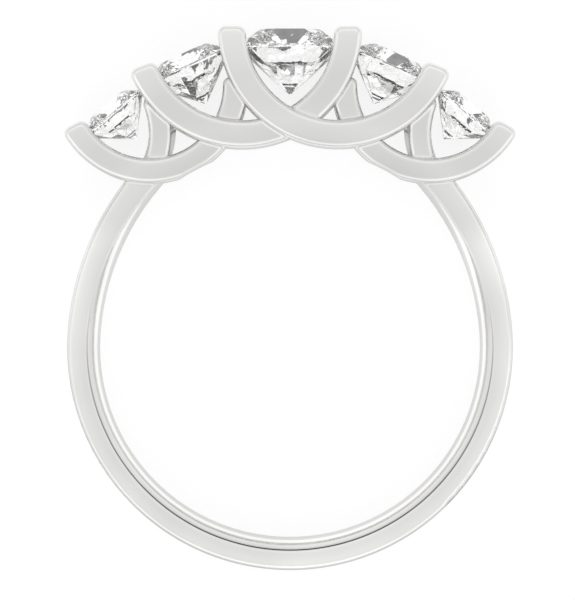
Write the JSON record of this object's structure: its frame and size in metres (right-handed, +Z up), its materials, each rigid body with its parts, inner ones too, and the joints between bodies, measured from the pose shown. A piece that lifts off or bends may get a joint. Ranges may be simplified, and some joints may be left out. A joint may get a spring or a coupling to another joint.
{
  "type": "five stone ring",
  "caption": "Polished white metal finger ring with a row of clear cushion cut stones in a woven setting of curved strips.",
  "frame": {"origin": "middle of the bounding box in X and Y, at its lowest point in Z, where the ring lies on a table", "axes": "+Z up, close to the finger hole's axis; +Y from the ring's foot to the centre stone; +X along the row of stones"},
  "size_m": [0.0204, 0.0248, 0.0053],
  "materials": {
    "white_metal": "polished",
    "clear_stone": "polished"
  },
  "bodies": {
    "root": {"shank_and_setting": "white_metal", "stone_centre": "clear_stone", "stone_inner_left": "clear_stone", "stone_inner_right": "clear_stone", "stone_outer_left": "clear_stone", "stone_outer_right": "clear_stone"}
  },
  "joints": []
}
